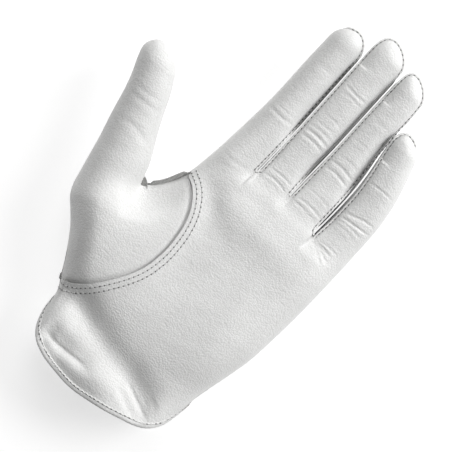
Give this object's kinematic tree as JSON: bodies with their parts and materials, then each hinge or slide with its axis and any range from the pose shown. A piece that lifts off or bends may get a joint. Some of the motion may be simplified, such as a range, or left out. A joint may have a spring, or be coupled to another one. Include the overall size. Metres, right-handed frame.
{
  "type": "golf glove",
  "caption": "Thin white leather golf glove for the left hand, palm up, with side strips between the fingers, a bound cuff and a wrist tab closure.",
  "frame": {"origin": "under the middle of the glove, on the surface that it lies on, back down and palm up", "axes": "+X from the thumb to the little finger, +Y from the cuff to the fingertips, +Z out of the palm, upwards"},
  "size_m": [0.1425, 0.2283, 0.0375],
  "materials": {
    "palm_leather": "soft white sheepskin with a fine pebbled grain and a low sheen",
    "back_leather": "soft white sheepskin, a little smoother",
    "side_leather": "soft white sheepskin strips between the fingers",
    "cuff_binding": "thin white leather tape folded over the hem",
    "thread": "white polyester sewing thread",
    "elastic": "woven white elastic tape",
    "lining": "white woven backing",
    "hook_tape": "white hook tape",
    "loop_fabric": "white napped loop tape"
  },
  "bodies": {
    "palm": {"palm_panel": "palm_leather", "back_panel": "back_leather", "thumb_base": "palm_leather", "index_middle_side_foot": "side_leather", "middle_ring_side_foot": "side_leather", "ring_little_side_foot": "side_leather", "cuff_binding_palm": "cuff_binding", "cuff_binding_back_thumb_side": "cuff_binding", "cuff_binding_back_little_side": "cuff_binding", "wrist_elastic": "elastic", "loop_pad": "loop_fabric", "tab_anchor": "back_leather"},
    "index_base": {"index_base_palm_side": "palm_leather", "index_base_back": "back_leather", "index_base_side_right": "side_leather"},
    "index_tip": {"index_tip_palm_side": "palm_leather", "index_tip_back": "back_leather", "index_tip_side_right": "side_leather"},
    "middle_base": {"middle_base_palm_side": "palm_leather", "middle_base_back": "back_leather", "middle_base_side_right": "side_leather", "middle_base_side_left": "side_leather"},
    "middle_tip": {"middle_tip_palm_side": "palm_leather", "middle_tip_back": "back_leather", "middle_tip_side_right": "side_leather", "middle_tip_side_left": "side_leather"},
    "ring_base": {"ring_base_palm_side": "palm_leather", "ring_base_back": "back_leather", "ring_base_side_right": "side_leather", "ring_base_side_left": "side_leather"},
    "ring_tip": {"ring_tip_palm_side": "palm_leather", "ring_tip_back": "back_leather", "ring_tip_side_right": "side_leather", "ring_tip_side_left": "side_leather"},
    "little_base": {"little_base_palm_side": "palm_leather", "little_base_back": "back_leather", "little_base_side_left": "side_leather"},
    "little_tip": {"little_tip_palm_side": "palm_leather", "little_tip_back": "back_leather", "little_tip_side_left": "side_leather"},
    "thumb_middle": {"thumb_middle": "palm_leather"},
    "thumb_tip": {"thumb_tip": "palm_leather"},
    "closure_tab": {"closure_tab": "back_leather", "tab_lining": "lining", "hook_pad": "hook_tape"}
  },
  "joints": [
    {"name": "index_knuckle", "type": "hinge", "parent": "palm", "child": "index_base", "pos_m": [0, 0.0243, 0.0246], "axis": [1, 0, 0], "range_deg": [0, 75]},
    {"name": "index_middle_joint", "type": "hinge", "parent": "index_base", "child": "index_tip", "pos_m": [0, 0.0508, 0.025], "axis": [1, 0, 0], "range_deg": [0, 85]},
    {"name": "middle_knuckle", "type": "hinge", "parent": "palm", "child": "middle_base", "pos_m": [0.02, 0.0278, 0.0246], "axis": [1, 0, 0], "range_deg": [0, 75]},
    {"name": "middle_middle_joint", "type": "hinge", "parent": "middle_base", "child": "middle_tip", "pos_m": [0.02, 0.0541, 0.025], "axis": [1, 0, 0], "range_deg": [0, 85]},
    {"name": "ring_knuckle", "type": "hinge", "parent": "palm", "child": "ring_base", "pos_m": [0.04, 0.0273, 0.0246], "axis": [1, 0, 0], "range_deg": [0, 75]},
    {"name": "ring_middle_joint", "type": "hinge", "parent": "ring_base", "child": "ring_tip", "pos_m": [0.04, 0.0493, 0.0249], "axis": [1, 0, 0], "range_deg": [0, 85]},
    {"name": "little_knuckle", "type": "hinge", "parent": "palm", "child": "little_base", "pos_m": [0.061, 0.0208, 0.0246], "axis": [1, 0, 0], "range_deg": [0, 75]},
    {"name": "little_middle_joint", "type": "hinge", "parent": "little_base", "child": "little_tip", "pos_m": [0.061, 0.0363, 0.0249], "axis": [1, 0, 0], "range_deg": [0, 85]},
    {"name": "thumb_knuckle", "type": "hinge", "parent": "palm", "child": "thumb_middle", "pos_m": [-0.0342, -0.0122, 0.029], "axis": [0.7502, 0, -0.6612], "range_deg": [0, 30]},
    {"name": "thumb_tip_joint", "type": "hinge", "parent": "thumb_middle", "child": "thumb_tip", "pos_m": [-0.041, 0.0038, 0.0295], "axis": [0.753, 0, -0.658], "range_deg": [0, 50]},
    {"name": "tab_fold", "type": "hinge", "parent": "palm", "child": "closure_tab", "pos_m": [-0.00385, -0.0837, 0.00035], "axis": [0, 1, 0], "range_deg": [0, 150]}
  ]
}
